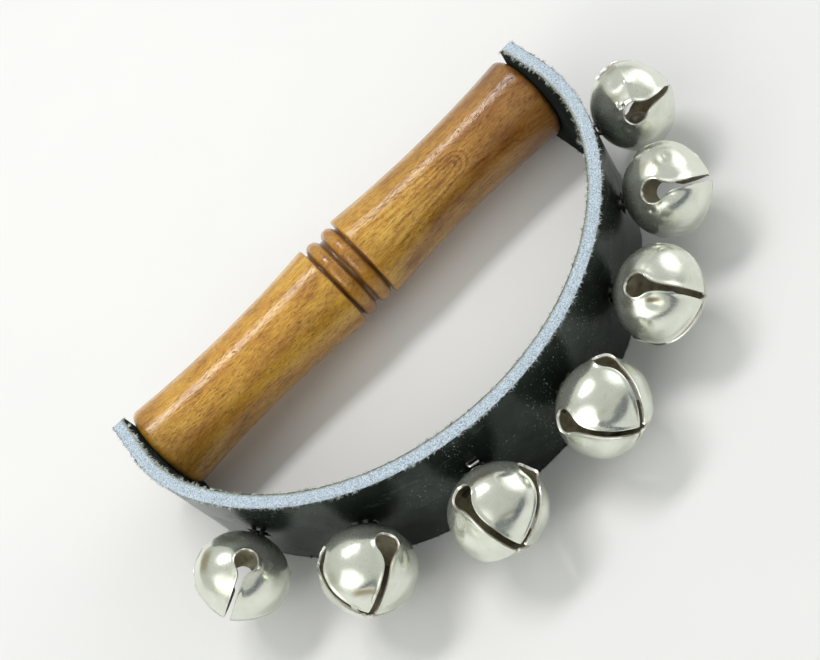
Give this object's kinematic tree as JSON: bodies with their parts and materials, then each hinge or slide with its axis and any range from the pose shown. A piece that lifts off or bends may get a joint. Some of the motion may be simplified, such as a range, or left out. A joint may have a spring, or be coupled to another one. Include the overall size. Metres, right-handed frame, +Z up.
{
  "type": "sleigh bells",
  "caption": "Hand-held sleigh bells: a turned wood handle with a leather strap bent round it in a D and jingle bells hung along the strap.",
  "frame": {"origin": "middle of the part's box, on the surface that the strap's lower edge rests on", "axes": "+X along the handle, -Y towards the bells, +Z up across the strap's width"},
  "size_m": [0.1922, 0.1212, 0.038],
  "materials": {
    "varnished_wood": "golden brown hardwood under gloss varnish",
    "black_leather": "smooth black leather with pale cut edges",
    "screw_steel": "zinc-plated steel",
    "washer_steel": "zinc-plated steel",
    "bell_nickel": "bright nickel plate with small dents",
    "loop_wire": "plated steel wire",
    "pellet_steel": "dull steel",
    "staple_wire": "bright steel wire"
  },
  "bodies": {
    "frame": {"handle": "varnished_wood", "strap": "black_leather", "screw_left": "screw_steel", "screw_right": "screw_steel", "washer_left": "washer_steel", "washer_right": "washer_steel", "bell_staple_1": "staple_wire", "bell_staple_2": "staple_wire", "bell_staple_3": "staple_wire", "bell_staple_4": "staple_wire", "bell_staple_5": "staple_wire", "bell_staple_6": "staple_wire", "bell_staple_7": "staple_wire"},
    "bell_1": {"bell_shell_1": "bell_nickel", "bell_loop_1": "loop_wire"},
    "pellet_1": {"bell_pellet_1": "pellet_steel"},
    "bell_2": {"bell_shell_2": "bell_nickel", "bell_loop_2": "loop_wire"},
    "pellet_2": {"bell_pellet_2": "pellet_steel"},
    "bell_3": {"bell_shell_3": "bell_nickel", "bell_loop_3": "loop_wire"},
    "pellet_3": {"bell_pellet_3": "pellet_steel"},
    "bell_4": {"bell_shell_4": "bell_nickel", "bell_loop_4": "loop_wire"},
    "pellet_4": {"bell_pellet_4": "pellet_steel"},
    "bell_5": {"bell_shell_5": "bell_nickel", "bell_loop_5": "loop_wire"},
    "pellet_5": {"bell_pellet_5": "pellet_steel"},
    "bell_6": {"bell_shell_6": "bell_nickel", "bell_loop_6": "loop_wire"},
    "pellet_6": {"bell_pellet_6": "pellet_steel"},
    "bell_7": {"bell_shell_7": "bell_nickel", "bell_loop_7": "loop_wire"},
    "pellet_7": {"bell_pellet_7": "pellet_steel"}
  },
  "joints": [
    {"name": "bell_1_rock", "type": "hinge", "parent": "frame", "child": "bell_1", "pos_m": [-0.07022, 0.00268, 0.019], "axis": [0, 0, 1], "range_deg": [-10, 10]},
    {"name": "pellet_1_rattle", "type": "slide", "parent": "bell_1", "child": "pellet_1", "axis": [0, 0, 1], "range_m": [0, 0.0168]},
    {"name": "bell_2_rock", "type": "hinge", "parent": "frame", "child": "bell_2", "pos_m": [-0.04792, -0.01974, 0.019], "axis": [0, 0, 1], "range_deg": [-10, 10]},
    {"name": "pellet_2_rattle", "type": "slide", "parent": "bell_2", "child": "pellet_2", "axis": [0, 0, 1], "range_m": [0, 0.0168]},
    {"name": "bell_3_rock", "type": "hinge", "parent": "frame", "child": "bell_3", "pos_m": [-0.01928, -0.03177, 0.019], "axis": [0, 0, 1], "range_deg": [-10, 10]},
    {"name": "pellet_3_rattle", "type": "slide", "parent": "bell_3", "child": "pellet_3", "axis": [0, 0, 1], "range_m": [0, 0.0168]},
    {"name": "bell_4_rock", "type": "hinge", "parent": "frame", "child": "bell_4", "pos_m": [0.01087, -0.03218, 0.019], "axis": [0, 0, 1], "range_deg": [-10, 10]},
    {"name": "pellet_4_rattle", "type": "slide", "parent": "bell_4", "child": "pellet_4", "axis": [0, 0, 1], "range_m": [0, 0.0168]},
    {"name": "bell_5_rock", "type": "hinge", "parent": "frame", "child": "bell_5", "pos_m": [0.03664, -0.02212, 0.019], "axis": [0, 0, 1], "range_deg": [-10, 10]},
    {"name": "pellet_5_rattle", "type": "slide", "parent": "bell_5", "child": "pellet_5", "axis": [0, 0, 1], "range_m": [0, 0.0168]},
    {"name": "bell_6_rock", "type": "hinge", "parent": "frame", "child": "bell_6", "pos_m": [0.05633, -0.00418, 0.019], "axis": [0, 0, 1], "range_deg": [-10, 10]},
    {"name": "pellet_6_rattle", "type": "slide", "parent": "bell_6", "child": "pellet_6", "axis": [0, 0, 1], "range_m": [0, 0.0168]},
    {"name": "bell_7_rock", "type": "hinge", "parent": "frame", "child": "bell_7", "pos_m": [0.06802, 0.0192, 0.019], "axis": [0, 0, 1], "range_deg": [-10, 10]},
    {"name": "pellet_7_rattle", "type": "slide", "parent": "bell_7", "child": "pellet_7", "axis": [0, 0, 1], "range_m": [0, 0.0168]}
  ]
}
